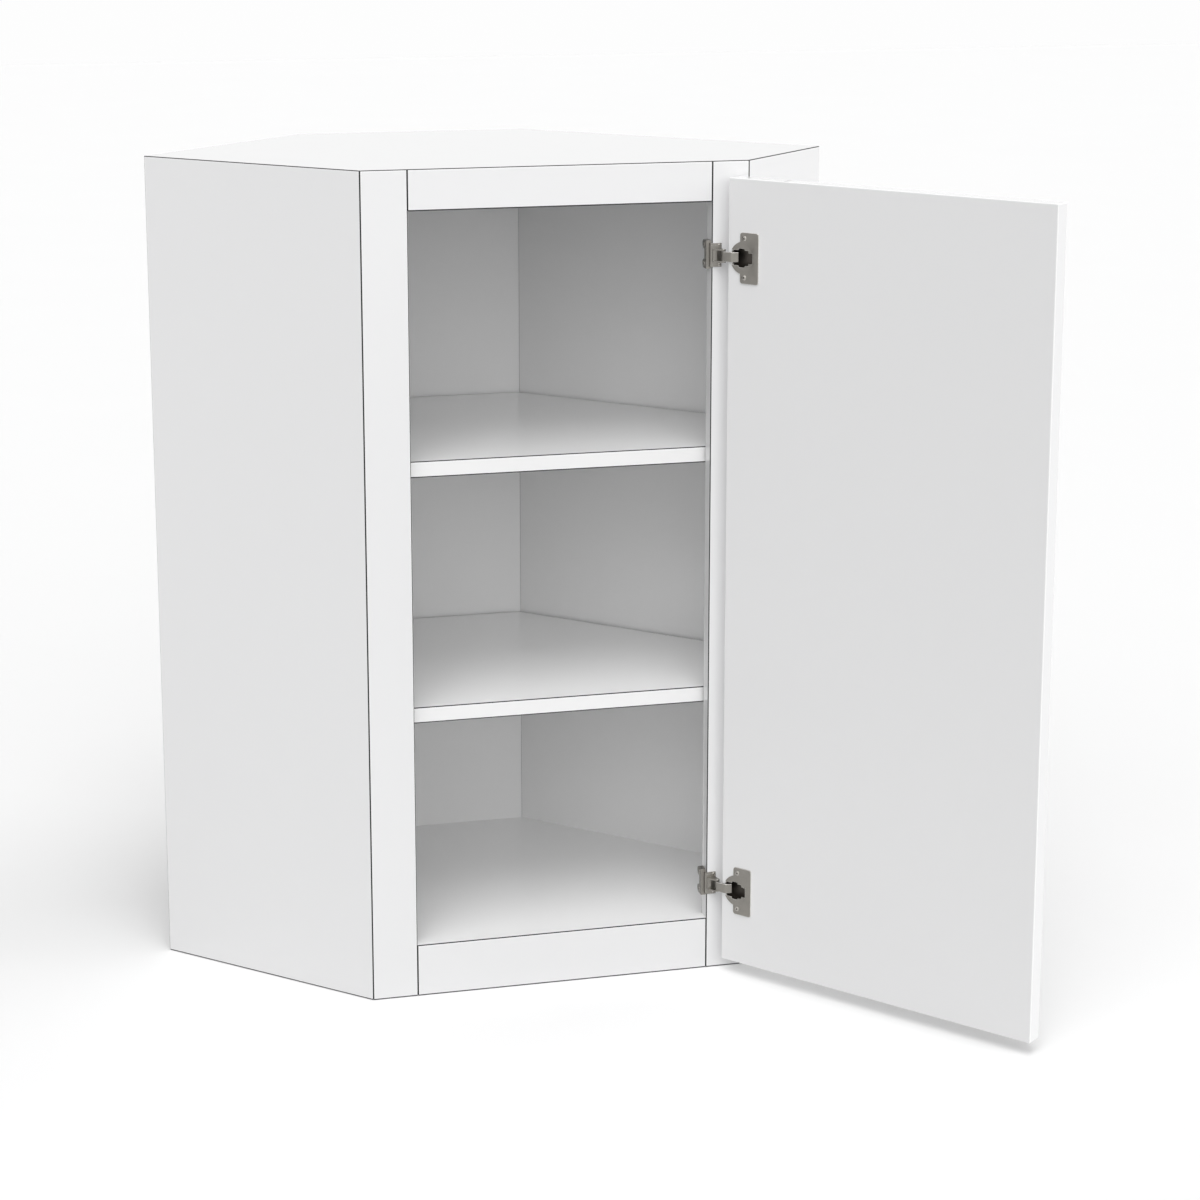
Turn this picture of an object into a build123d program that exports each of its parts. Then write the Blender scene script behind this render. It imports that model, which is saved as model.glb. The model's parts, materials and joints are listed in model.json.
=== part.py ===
from build123d import *
import math
import os

# Diagonal corner wall cabinet with a face frame, two shelves and one slab door that hangs
# on two compact cup hinges. Millimetres, +Z up, the door faces -Y. The origin is the middle
# of the rear corner board's lower edge, on the diagonal between the two room walls.
# The door is written in its fully open position.

# Overall body
HEIGHT = 914.4
FRONT_WIDTH = 422.0            # across the face frame, corner to corner
LEFT_DEPTH = 286.0             # left side, from the wall to the front corner
RIGHT_DEPTH = 170.0            # right side, from the wall to the front corner
CORNER_CUT = 188.0             # how far the rear corner is cut back along each wall

# Boards
SIDE_THICK = 16.0
TOP_THICK = 16.0
BOTTOM_THICK = 16.0
SHELF_THICK = 18.0
BACK_THICK = 6.0
HANGING_RAIL_THICK = 12.0
HANGING_RAIL_HEIGHT = 75.0
HOUSING_DEPTH = 6.0            # how deep a board sits in a groove of a side panel

# Face frame
FRAME_THICK = 19.0
LEFT_STILE = 50.0
RIGHT_STILE = 41.0
TOP_RAIL = 44.0
BOTTOM_RAIL = 59.0
TENON_LENGTH = 18.0
TENON_THICK = 7.0
TENON_SHOULDER = 8.0           # from a rail's edge to its tenon
MORTISE_ROOM = 1.0             # left past the end of a tenon for glue
HOLE_ROOM = 0.05               # round a pin, peg or screw in its hole

# Shelves and their supports
UPPER_SHELF_TOP = 599.0
LOWER_SHELF_TOP = 325.0
SHELF_CLEARANCE = 1.0          # all round a shelf
SHELF_SETBACK = 2.0            # behind the face frame
SUPPORT_PEG_RADIUS = 2.5
SUPPORT_PEG_LENGTH = 9.0
SUPPORT_HOLE_END = 0.5
SUPPORT_WIDTH = 8.0
SUPPORT_HEIGHT = 6.0
SUPPORT_REACH = 9.0
SUPPORT_EDGE = 42.0            # from a side panel's ends to its supports

# Door
DOOR_THICK = 19.0
DOOR_REVEAL = 16.0             # frame left showing round the closed door
DOOR_GAP = 3.0                 # between the closed door and the frame
OPEN_ANGLE = 129.0
TURN_INSET = 2.7               # the door's turning axis, in from its hinge edge
TURN_DEPTH = 9.3               # and in from its inner face
HINGE_INSET = 85.0             # from the door's end to the middle of a hinge

# Hinge cup, let into the door
CUP_RADIUS = 17.4
CUP_DEPTH = 11.3
CUP_WALL = 1.2
CUP_EDGE = 3.5                 # wood left between the bore and the door's edge
CUP_BORE_ROOM = 0.1
FLANGE_THICK = 1.2
FLANGE_LIP = 0.6               # of the round flange past the bore
FLANGE_START = 15.8            # from the door's edge to the flange plate
FLANGE_WIDTH = 23.4
FLANGE_HEIGHT = 55.0
FLANGE_CORNER = 3.0
CUP_SCREW_SPACING = 42.0
MOUTH_ROOM = 1.1               # beside the cheeks
MOUTH_END = 26.5               # of the wide mouth, from the door's edge
ARM_SLOT_ROOM = 0.5            # beside the arm
ARM_SLOT_END = 31.5            # from the door's edge
POCKET_START = 13.8            # of the mouth's tall pocket, from the door's edge
POCKET_END = 21.8
POCKET_HEIGHT = 20.4

# Hinge plate, wrapped round the right stile's inner edge
PLATE_THICK = 1.2
WING_THICK = 2.1
WING_STEP = 4.0                # behind the frame's front, where the wing gets thicker
PAD_THICK = 5.2                # of the wing's pad and its two ears
PAD_DEPTH = 11.5               # the pad's rear end behind the frame's front
EAR_RADIUS = 4.8
EAR_SPACING = 21.0
EAR_DEPTH = 18.5               # the ears' rear ends behind the frame's front
PLATE_SCREW_DEPTH = 11.5       # behind the frame's front
PLATE_SCREW_LENGTH = 16.0
GAUGE_HOLE_RADIUS = 0.9
GAUGE_HOLE_DEPTH = 3.0
GAUGE_HOLE_SPACING = 9.0
GAUGE_HOLE_BACK = 8.0          # behind the frame's front
TAB_WIDTH = 10.4
TAB_HEIGHT = 25.6
RIB_WIDTH = 5.6                # raised middle of the tab, from the stile's edge
RIB_HEIGHT = 21.6
RIB_PROUD = 0.35
CHEEK_THICK = 1.5
CHEEK_ROOM = 0.4               # between the arm and each cheek
BRIDGE_HEIGHT = 2.6
BRIDGE_WIDTH = 4.5
ARM_PIN_ACROSS = 9.9           # pin from the stile's inner edge
ARM_PIN_FORWARD = 10.0         # pin in front of the face frame
ARM_PIN_RADIUS = 1.2
ARM_PIN_PROUD = 0.3
CHEEK_EYE = 2.5
ADJUSTER_RADIUS = 1.9
ADJUSTER_PROUD = 0.3
ADJUSTER_ACROSS = 8.2
ADJUSTER_SPACING = 20.8
ADJUSTER_SLOT = 0.7

# Hinge arm
ARM_HEIGHT = 10.4
ARM_THICK = 1.8
ARM_EYE = 2.4
ARM_LIFT = 1.6                 # over the open door's inner face
ARM_SHOULDER = 1.8             # flat part starts this far past the pin
ARM_FLAT_END = 5.5             # from the door's edge
ARM_NOSE = 11.0                # from the door's edge
ARM_NOSE_DEPTH = 2.2           # below the inner face

# Screws
SCREW_RADIUS = 1.5
SCREW_HEAD = 2.8
SCREW_CROWN = 2.1              # radius of the head's flat top
SCREW_HEAD_HEIGHT = 0.6
SCREW_LENGTH = 13.0
CROSS_LENGTH = 3.0
CROSS_WIDTH = 0.7
CROSS_DEPTH = 0.4

# Worked out from the above
ROOT2 = math.sqrt(2)
LEFT_RUN = RIGHT_DEPTH + FRONT_WIDTH / ROOT2       # cabinet along the left wall
RIGHT_RUN = LEFT_DEPTH + FRONT_WIDTH / ROOT2       # cabinet along the right wall
FRONT_SUM = LEFT_RUN + LEFT_DEPTH                  # a + b on the front face
FRAME_SUM = FRONT_SUM - FRAME_THICK * ROOT2        # a + b on the frame's rear face
LEFT_X = (LEFT_DEPTH - LEFT_RUN) / ROOT2
RIGHT_X = LEFT_X + FRONT_WIDTH
FRONT_Y = (CORNER_CUT - FRONT_SUM) / ROOT2
BACK_DEPTH = HANGING_RAIL_THICK + BACK_THICK       # interior starts this far off a wall
CORNER_SUM = CORNER_CUT + BACK_DEPTH * ROOT2       # a + b on the corner board's inner face
MITRE = FRAME_THICK * ROOT2 - SIDE_THICK
OPENING_LEFT = LEFT_X + LEFT_STILE
OPENING_RIGHT = RIGHT_X - RIGHT_STILE
TOP_UNDERSIDE = HEIGHT - TOP_THICK
DOOR_WIDTH = FRONT_WIDTH - 2 * DOOR_REVEAL
DOOR_HEIGHT = HEIGHT - 2 * DOOR_REVEAL
TURN_X = RIGHT_X - DOOR_REVEAL - TURN_INSET
TURN_Y = FRONT_Y - DOOR_GAP - TURN_DEPTH
CUP_MIDDLE = CUP_EDGE + CUP_RADIUS + CUP_BORE_ROOM
PIN_X = OPENING_RIGHT + ARM_PIN_ACROSS
PIN_Y = FRONT_Y - ARM_PIN_FORWARD
CHEEK_INNER = ARM_HEIGHT / 2 + CHEEK_ROOM
CHEEK_OUTER = CHEEK_INNER + CHEEK_THICK
HINGE_HEIGHTS = {
    "upper": DOOR_REVEAL + DOOR_HEIGHT - HINGE_INSET,
    "lower": DOOR_REVEAL + HINGE_INSET,
}
SHELF_TOPS = {"upper": UPPER_SHELF_TOP, "lower": LOWER_SHELF_TOP}
RAILS = {"top_rail": (HEIGHT - TOP_RAIL, HEIGHT), "bottom_rail": (0, BOTTOM_RAIL)}


def plan(a, b):
    """x and y of the point a along the left wall and b along the right wall."""
    return ((b - a) / ROOT2, (CORNER_CUT - a - b) / ROOT2)


def board(outline, low, high):
    """A board of the given outline in wall distances, from height low to high."""
    face = Polygon(*[plan(a, b) for a, b in outline], align=None)
    return Pos(0, 0, low) * extrude(face, amount=high - low, dir=(0, 0, 1))


def block(low, high):
    """An upright box between two opposite corners."""
    size = [h - l for l, h in zip(low, high)]
    return Pos(*low) * Box(*size, align=(Align.MIN, Align.MIN, Align.MIN))


def rod(radius, start, end):
    """A round rod between two points."""
    line = Line(start, end)
    return extrude(Plane(origin=start, z_dir=line % 0) * Circle(radius), amount=line.length)


def strip(start, end, thick, low, high):
    """A flat bar with round ends that joins two points in plan."""
    line = Line(start, end)
    slot = SlotCenterToCenter(line.length, thick)
    turn = math.degrees(math.atan2(end[1] - start[1], end[0] - start[0]))
    middle = line @ 0.5
    return Pos(middle.X, middle.Y, low) * Rot(0, 0, turn) * extrude(slot, amount=high - low)


# ---- places that the moving pieces share ---------------------------------------------

def open_door_place():
    """The open door's own axes: x from its hinge edge, y into the wood, z up."""
    turned = Vector(TURN_INSET, TURN_DEPTH).rotate(Axis.Z, OPEN_ANGLE)
    corner = Vector(TURN_X, TURN_Y) + turned
    return Pos(corner.X, corner.Y, 0) * Rot(0, 0, 180 + OPEN_ANGLE)


def pin_on_door():
    """The arm pin's place in the open door's axes."""
    here = open_door_place().inverse() * Pos(PIN_X, PIN_Y, 0)
    return here.position.X, here.position.Y


# ---- fasteners ------------------------------------------------------------------------

def screw(length=SCREW_LENGTH):
    """A pan-head wood screw with a cross recess, head on z = 0 and shank downwards."""
    side = Polyline(
        (0, -length), (SCREW_RADIUS, -length), (SCREW_RADIUS, 0), (SCREW_HEAD, 0),
        (SCREW_CROWN, SCREW_HEAD_HEIGHT), (0, SCREW_HEAD_HEIGHT), close=True,
    )
    body = revolve(Plane.XZ * make_face(side), axis=Axis.Z)
    bar = Box(CROSS_LENGTH, CROSS_WIDTH, 2 * CROSS_DEPTH)
    return body - [Pos(0, 0, SCREW_HEAD_HEIGHT) * Rot(0, 0, turn) * bar for turn in (0, 90)]


def screw_hole(length=SCREW_LENGTH):
    """The hole that a screw's shank fills, through whatever the screw holds."""
    radius = SCREW_RADIUS + HOLE_ROOM
    return Pos(0, 0, -length) * extrude(Circle(radius), amount=length)


def cup_screw_places(height):
    """Places of a cup's two screws in the door's axes, heads on the flange."""
    return [
        Pos(CUP_MIDDLE, -FLANGE_THICK, height + side * CUP_SCREW_SPACING / 2) * Rot(90, 0, 0)
        for side in (-1, 1)
    ]


def plate_screw_places(height):
    """Places of a plate's two screws, driven sideways into the stile's inner edge."""
    x = OPENING_RIGHT - PAD_THICK
    y = FRONT_Y + PLATE_SCREW_DEPTH
    return [Pos(x, y, height + side * EAR_SPACING / 2) * Rot(0, -90, 0) for side in (-1, 1)]


# ---- carcass --------------------------------------------------------------------------

def side_tongue_outline(rear):
    """Outline of a board housed in both side panels, with its rear edges off the walls."""
    left = LEFT_RUN - SIDE_THICK + HOUSING_DEPTH
    right = RIGHT_RUN - SIDE_THICK + HOUSING_DEPTH
    corner = (CORNER_CUT if rear == 0 else CORNER_SUM) - rear
    return [
        (corner, rear), (left, rear), (left, FRAME_SUM - left),
        (FRAME_SUM - right, right), (rear, right), (rear, corner),
    ]


def top_panel():
    return board(side_tongue_outline(0), TOP_UNDERSIDE, HEIGHT)


def bottom_panel():
    """The floor, level with the top of the bottom rail and recessed underneath."""
    return board(side_tongue_outline(BACK_DEPTH), BOTTOM_RAIL - BOTTOM_THICK, BOTTOM_RAIL)


def left_back_panel():
    end = LEFT_RUN - SIDE_THICK + HOUSING_DEPTH
    near, far = HANGING_RAIL_THICK, BACK_DEPTH
    outline = [(CORNER_SUM - near, near), (end, near), (end, far), (CORNER_SUM - far, far)]
    return board(outline, 0, TOP_UNDERSIDE)


def right_back_panel():
    end = RIGHT_RUN - SIDE_THICK + HOUSING_DEPTH
    near, far = HANGING_RAIL_THICK, BACK_DEPTH
    outline = [(near, CORNER_SUM - near), (near, end), (far, end), (far, CORNER_SUM - far)]
    return board(outline, 0, TOP_UNDERSIDE)


def corner_back_panel():
    """The board across the cut-off rear corner, parallel to the front."""
    outline = [(CORNER_CUT, 0), (CORNER_SUM, 0), (0, CORNER_SUM), (0, CORNER_CUT)]
    holes = [corner_support(top) * support_hole() for top in SHELF_TOPS.values()]
    return board(outline, 0, TOP_UNDERSIDE) - holes


def left_hanging_rail(low):
    end = LEFT_RUN - SIDE_THICK
    thick = HANGING_RAIL_THICK
    outline = [(CORNER_SUM, 0), (end, 0), (end, thick), (CORNER_SUM - thick, thick)]
    return board(outline, low, low + HANGING_RAIL_HEIGHT)


def right_hanging_rail(low):
    end = RIGHT_RUN - SIDE_THICK
    thick = HANGING_RAIL_THICK
    outline = [(0, CORNER_SUM), (0, end), (thick, end), (thick, CORNER_SUM - thick)]
    return board(outline, low, low + HANGING_RAIL_HEIGHT)


def left_side_panel():
    """Left side, mitred to the stile and housed for the top, floor and back."""
    inner = LEFT_RUN - SIDE_THICK
    outline = [(LEFT_RUN, 0), (LEFT_RUN, LEFT_DEPTH), (inner, LEFT_DEPTH - MITRE), (inner, 0)]
    holes = [place * support_hole() for top in SHELF_TOPS.values() for place in left_supports(top)]
    return board(outline, 0, HEIGHT) - [top_panel(), bottom_panel(), left_back_panel(), *holes]


def right_side_panel():
    """Right side, mitred to the stile and housed for the top, floor and back."""
    inner = RIGHT_RUN - SIDE_THICK
    outline = [(0, RIGHT_RUN), (RIGHT_DEPTH, RIGHT_RUN), (RIGHT_DEPTH - MITRE, inner), (0, inner)]
    holes = [place * support_hole() for top in SHELF_TOPS.values() for place in right_supports(top)]
    return board(outline, 0, HEIGHT) - [top_panel(), bottom_panel(), right_back_panel(), *holes]


# ---- face frame -----------------------------------------------------------------------

def tenon(low, high, end_room=0):
    """The tongue that runs past both ends of a rail, or with room its mortises."""
    reach = TENON_LENGTH + end_room
    middle = FRONT_Y + FRAME_THICK / 2
    return block(
        (OPENING_LEFT - reach, middle - TENON_THICK / 2, low + TENON_SHOULDER),
        (OPENING_RIGHT + reach, middle + TENON_THICK / 2, high - TENON_SHOULDER),
    )


def frame_rail(low, high):
    rear = FRONT_Y + FRAME_THICK
    return block((OPENING_LEFT, FRONT_Y, low), (OPENING_RIGHT, rear, high)) + tenon(low, high)


def stile(outline):
    """A full-height upright, mortised for both rails."""
    upright = extrude(Polygon(*outline, align=None), amount=HEIGHT, dir=(0, 0, 1))
    return upright - [tenon(*rail, MORTISE_ROOM) for rail in RAILS.values()]


def left_stile():
    rear = FRONT_Y + FRAME_THICK
    seat = plan(LEFT_RUN - SIDE_THICK, LEFT_DEPTH - MITRE)
    return stile([(LEFT_X, FRONT_Y), (OPENING_LEFT, FRONT_Y), (OPENING_LEFT, rear), seat])


def plate_screw_holes(height):
    return [place * screw_hole(PLATE_SCREW_LENGTH) for place in plate_screw_places(height)]


def right_stile():
    """The stile that carries the door, drilled for the hinge plates' screws."""
    rear = FRONT_Y + FRAME_THICK
    seat = plan(RIGHT_DEPTH - MITRE, RIGHT_RUN - SIDE_THICK)
    outline = [(OPENING_RIGHT, FRONT_Y), (RIGHT_X, FRONT_Y), seat, (OPENING_RIGHT, rear)]
    screws = [hole for height in HINGE_HEIGHTS.values() for hole in plate_screw_holes(height)]
    return stile(outline) - screws


# ---- shelves --------------------------------------------------------------------------

def shelf(top):
    """A loose shelf that fills the plan with a little room all round."""
    rear = BACK_DEPTH + SHELF_CLEARANCE
    left = LEFT_RUN - SIDE_THICK - SHELF_CLEARANCE
    right = RIGHT_RUN - SIDE_THICK - SHELF_CLEARANCE
    corner = CORNER_SUM + SHELF_CLEARANCE * ROOT2 - rear
    front = FRAME_SUM - SHELF_SETBACK * ROOT2
    outline = [
        (corner, rear), (left, rear), (left, front - left),
        (front - right, right), (rear, right), (rear, corner),
    ]
    return board(outline, top - SHELF_THICK, top)


def support_place(x, y, top, heading):
    """A support's own axes: x out of the board it is plugged into, z up to the shelf."""
    return Pos(x, y, top - SHELF_THICK) * Rot(0, 0, heading)


def left_supports(top):
    inner = LEFT_RUN - SIDE_THICK
    rows = (BACK_DEPTH + SUPPORT_EDGE, LEFT_DEPTH - MITRE - SUPPORT_EDGE)
    return [support_place(*plan(inner, b), top, 45) for b in rows]


def right_supports(top):
    inner = RIGHT_RUN - SIDE_THICK
    rows = (BACK_DEPTH + SUPPORT_EDGE, RIGHT_DEPTH - MITRE - SUPPORT_EDGE)
    return [support_place(*plan(a, inner), top, 135) for a in rows]


def corner_support(top):
    return support_place(*plan(CORNER_SUM / 2, CORNER_SUM / 2), top, -90)


def support_hole():
    middle = -SUPPORT_HEIGHT / 2
    start = (-SUPPORT_PEG_LENGTH - SUPPORT_HOLE_END, 0, middle)
    return rod(SUPPORT_PEG_RADIUS + HOLE_ROOM, start, (0, 0, middle))


def shelf_support():
    """A peg with a flat-topped arm that the shelf lies on, ribbed underneath."""
    middle = -SUPPORT_HEIGHT / 2
    half = SUPPORT_WIDTH / 2
    side = Polyline(
        (0, 0), (SUPPORT_REACH, 0), (SUPPORT_REACH, middle), (0, -SUPPORT_HEIGHT), close=True
    )
    arm = Pos(0, half, 0) * extrude(Plane.XZ * make_face(side), amount=SUPPORT_WIDTH)
    return arm + rod(SUPPORT_PEG_RADIUS, (-SUPPORT_PEG_LENGTH, 0, middle), (0.1, 0, middle))


def shelf_supports(top):
    places = [*left_supports(top), *right_supports(top), corner_support(top)]
    return [place * shelf_support() for place in places]


# ---- door -----------------------------------------------------------------------------

def door_panel():
    """The slab door, bored for its two hinge cups and their screws."""
    slab = block((0, 0, DOOR_REVEAL), (DOOR_WIDTH, DOOR_THICK, DOOR_REVEAL + DOOR_HEIGHT))
    cuts = []
    for height in HINGE_HEIGHTS.values():
        depth = CUP_DEPTH + CUP_BORE_ROOM
        cuts.append(rod(CUP_RADIUS + CUP_BORE_ROOM, (CUP_MIDDLE, 0, height), (CUP_MIDDLE, depth, height)))
        cuts += [place * screw_hole() for place in cup_screw_places(height)]
    return open_door_place() * (slab - cuts)


def hinge_cup(height):
    """Cup and flange in one. The mouth is wide for the cheeks, narrow for the arm, and has a pocket."""
    middle = (CUP_MIDDLE, 0, height)
    cup = rod(CUP_RADIUS, middle, (CUP_MIDDLE, CUP_DEPTH, height))
    lobe = rod(CUP_RADIUS + FLANGE_LIP, (CUP_MIDDLE, -FLANGE_THICK, height), middle)
    low = (FLANGE_START, -FLANGE_THICK, height - FLANGE_HEIGHT / 2)
    high = (FLANGE_START + FLANGE_WIDTH, 0, height + FLANGE_HEIGHT / 2)
    flange = block(low, high)
    flange = fillet(flange.edges().filter_by(Axis.Y), FLANGE_CORNER)
    hollow = rod(CUP_RADIUS - CUP_WALL, middle, (CUP_MIDDLE, CUP_DEPTH - CUP_WALL, height))
    wide = CHEEK_OUTER + MOUTH_ROOM
    narrow = ARM_HEIGHT / 2 + ARM_SLOT_ROOM
    edge = CUP_EDGE - 2 * FLANGE_LIP
    mouth = block((edge, -FLANGE_THICK, height - wide), (MOUTH_END, 0, height + wide))
    slot = block((edge, -FLANGE_THICK, height - narrow), (ARM_SLOT_END, 0, height + narrow))
    tall = POCKET_HEIGHT / 2
    pocket = block((POCKET_START, -FLANGE_THICK, height - tall), (POCKET_END, 0, height + tall))
    pocket = fillet(pocket.edges().filter_by(Axis.Y), CUP_WALL)
    holes = [place * screw_hole() for place in cup_screw_places(height)]
    return open_door_place() * (cup + lobe + flange - [hollow, mouth, slot, pocket, *holes])


def cup_screws(height):
    return [open_door_place() * place * screw() for place in cup_screw_places(height)]


# ---- hinge plate, pin and arm -----------------------------------------------------------

def plate_wing(height):
    """The plate's wing on the stile's inner edge: a thick pad with two ears for the screws."""
    face = OPENING_RIGHT - PAD_THICK
    half = EAR_SPACING / 2 + EAR_RADIUS
    step, rear = FRONT_Y + WING_STEP, FRONT_Y + PAD_DEPTH
    ear_end = FRONT_Y + EAR_DEPTH - EAR_RADIUS
    wing = block((face, step, height - half), (OPENING_RIGHT, rear, height + half))
    wing += block(
        (OPENING_RIGHT - WING_THICK, FRONT_Y, height - TAB_HEIGHT / 2),
        (OPENING_RIGHT, step, height + TAB_HEIGHT / 2),
    )
    for middle in (height - EAR_SPACING / 2, height + EAR_SPACING / 2):
        low, high = middle - EAR_RADIUS, middle + EAR_RADIUS
        wing += block((face, step, low), (OPENING_RIGHT, ear_end, high))
        wing += rod(EAR_RADIUS, (face, ear_end, middle), (OPENING_RIGHT, ear_end, middle))
    for middle in (height - GAUGE_HOLE_SPACING / 2, height + GAUGE_HOLE_SPACING / 2):
        start = (face, FRONT_Y + GAUGE_HOLE_BACK, middle)
        wing -= rod(GAUGE_HOLE_RADIUS, start, (face + GAUGE_HOLE_DEPTH, *start[1:]))
    return wing


def plate_tab(height):
    """The plate's tab on the stile's front, thicker in the middle, and the cheeks' bridge."""
    left = OPENING_RIGHT - WING_THICK
    foot = FRONT_Y - PLATE_THICK
    tab = block(
        (left, foot, height - TAB_HEIGHT / 2), (OPENING_RIGHT + TAB_WIDTH, FRONT_Y, height + TAB_HEIGHT / 2)
    )
    tab += block(
        (left, foot - RIB_PROUD, height - RIB_HEIGHT / 2),
        (OPENING_RIGHT + RIB_WIDTH, foot, height + RIB_HEIGHT / 2),
    )
    return tab + block(
        (OPENING_RIGHT, foot - BRIDGE_HEIGHT, height - CHEEK_OUTER),
        (OPENING_RIGHT + BRIDGE_WIDTH, foot, height + CHEEK_OUTER),
    )


def plate_cheeks(height):
    """The two cheeks that hold the arm's pin."""
    foot = FRONT_Y - PLATE_THICK
    edges = [
        Pos(PIN_X, PIN_Y) * Circle(CHEEK_EYE),
        Polygon((OPENING_RIGHT, foot), (PIN_X, foot), (OPENING_RIGHT, foot - BRIDGE_HEIGHT), align=None),
    ]
    cheek = make_hull([edge for face in edges for edge in face.edges()])
    return [
        Pos(0, 0, height + low) * extrude(cheek, amount=CHEEK_THICK, dir=(0, 0, 1))
        for low in (-CHEEK_OUTER, CHEEK_INNER)
    ]


def hinge_plate(height):
    """Plate round the stile's edge: eared wing, front tab, and two cheeks for the pin."""
    reach = CHEEK_OUTER + 1
    pin_hole = rod(ARM_PIN_RADIUS + HOLE_ROOM, (PIN_X, PIN_Y, height - reach), (PIN_X, PIN_Y, height + reach))
    holes = [*plate_screw_holes(height), *[place * adjuster_hole() for place in adjuster_places(height)]]
    return plate_wing(height) + plate_tab(height) + plate_cheeks(height) - [pin_hole, *holes]


def adjuster_places(height):
    """Places of the two adjusting screws in the front tab, heads facing forward."""
    x = OPENING_RIGHT + ADJUSTER_ACROSS
    return [Pos(x, FRONT_Y, height + side * ADJUSTER_SPACING / 2) * Rot(90, 0, 0) for side in (-1, 1)]


def adjuster_hole():
    return extrude(Circle(ADJUSTER_RADIUS + HOLE_ROOM), amount=PLATE_THICK)


def adjusting_screws(height):
    """Two slotted cams that shift the plate on the stile."""
    tall = PLATE_THICK + ADJUSTER_PROUD
    cam = extrude(Circle(ADJUSTER_RADIUS), amount=tall)
    cam -= Pos(0, 0, tall) * Box(3 * ADJUSTER_RADIUS, ADJUSTER_SLOT, ADJUSTER_SLOT)
    return [place * cam for place in adjuster_places(height)]


def plate_screws(height):
    return [place * screw(PLATE_SCREW_LENGTH) for place in plate_screw_places(height)]


def hinge_pin(height):
    reach = CHEEK_OUTER + ARM_PIN_PROUD
    return rod(ARM_PIN_RADIUS, (PIN_X, PIN_Y, height - reach), (PIN_X, PIN_Y, height + reach))


def hinge_arm(height):
    """Goose-necked arm from the plate's pin, over the door's edge and into the cup."""
    pin = pin_on_door()
    low, high = height - ARM_HEIGHT / 2, height + ARM_HEIGHT / 2
    over = -ARM_LIFT - ARM_THICK / 2
    bends = [pin, (pin[0] + ARM_SHOULDER, over), (ARM_FLAT_END, over), (ARM_NOSE, ARM_NOSE_DEPTH)]
    arm = Pos(pin[0], pin[1], low) * extrude(Circle(ARM_EYE), amount=ARM_HEIGHT)
    for start, end in zip(bends, bends[1:]):
        arm += strip(start, end, ARM_THICK, low, high)
    arm -= rod(ARM_PIN_RADIUS + HOLE_ROOM, (*pin, low - 1), (*pin, high + 1))
    return open_door_place() * arm


# ---- all pieces -------------------------------------------------------------------------

def all_nodes():
    upper_rail_low = TOP_UNDERSIDE - HANGING_RAIL_HEIGHT
    nodes = {
        "left_side_panel": left_side_panel(),
        "right_side_panel": right_side_panel(),
        "top_panel": top_panel(),
        "bottom_panel": bottom_panel(),
        "left_back_panel": left_back_panel(),
        "right_back_panel": right_back_panel(),
        "corner_back_panel": corner_back_panel(),
        "left_upper_hanging_rail": left_hanging_rail(upper_rail_low),
        "right_upper_hanging_rail": right_hanging_rail(upper_rail_low),
        "left_lower_hanging_rail": left_hanging_rail(0),
        "right_lower_hanging_rail": right_hanging_rail(0),
        "left_stile": left_stile(),
        "right_stile": right_stile(),
        "door_panel": door_panel(),
    }
    for name, heights in RAILS.items():
        nodes[name] = frame_rail(*heights)
    for name, top in SHELF_TOPS.items():
        nodes[f"{name}_shelf"] = shelf(top)
        nodes[f"{name}_shelf_supports"] = shelf_supports(top)
    for name, height in HINGE_HEIGHTS.items():
        nodes[f"{name}_hinge_plate"] = hinge_plate(height)
        nodes[f"{name}_plate_screws"] = plate_screws(height)
        nodes[f"{name}_adjusting_screws"] = adjusting_screws(height)
        nodes[f"{name}_hinge_pin"] = hinge_pin(height)
        nodes[f"{name}_hinge_arm"] = hinge_arm(height)
        nodes[f"{name}_hinge_cup"] = hinge_cup(height)
        nodes[f"{name}_cup_screws"] = cup_screws(height)
    return nodes


os.makedirs("parts", exist_ok=True)
for name, shape in all_nodes().items():
    solids = Compound(children=shape) if isinstance(shape, list) else shape
    export_step(solids, f"parts/{name}.step")
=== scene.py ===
import json
import math

import bmesh
import bpy
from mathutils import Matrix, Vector


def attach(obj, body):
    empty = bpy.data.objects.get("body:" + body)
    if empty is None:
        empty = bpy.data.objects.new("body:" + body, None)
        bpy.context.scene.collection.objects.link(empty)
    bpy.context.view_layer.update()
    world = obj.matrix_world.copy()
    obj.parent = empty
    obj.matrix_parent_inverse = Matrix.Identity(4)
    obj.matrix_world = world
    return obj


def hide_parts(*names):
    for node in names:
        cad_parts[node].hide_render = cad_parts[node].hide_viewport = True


# The white gloss corner wall cabinet, dressed for the studio. Metres, in the frame of the
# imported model: +Z up, the face frame faces -Y, the origin on the floor at the middle of the
# cut-back rear corner.

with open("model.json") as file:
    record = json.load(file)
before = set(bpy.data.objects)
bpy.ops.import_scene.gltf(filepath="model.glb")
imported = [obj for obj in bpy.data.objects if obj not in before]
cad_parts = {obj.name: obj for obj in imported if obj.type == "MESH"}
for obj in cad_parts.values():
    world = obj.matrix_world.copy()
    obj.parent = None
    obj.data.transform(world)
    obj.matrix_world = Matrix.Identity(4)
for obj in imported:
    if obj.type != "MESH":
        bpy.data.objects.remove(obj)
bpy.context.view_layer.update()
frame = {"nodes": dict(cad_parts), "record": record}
nodes = frame["nodes"]

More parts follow.
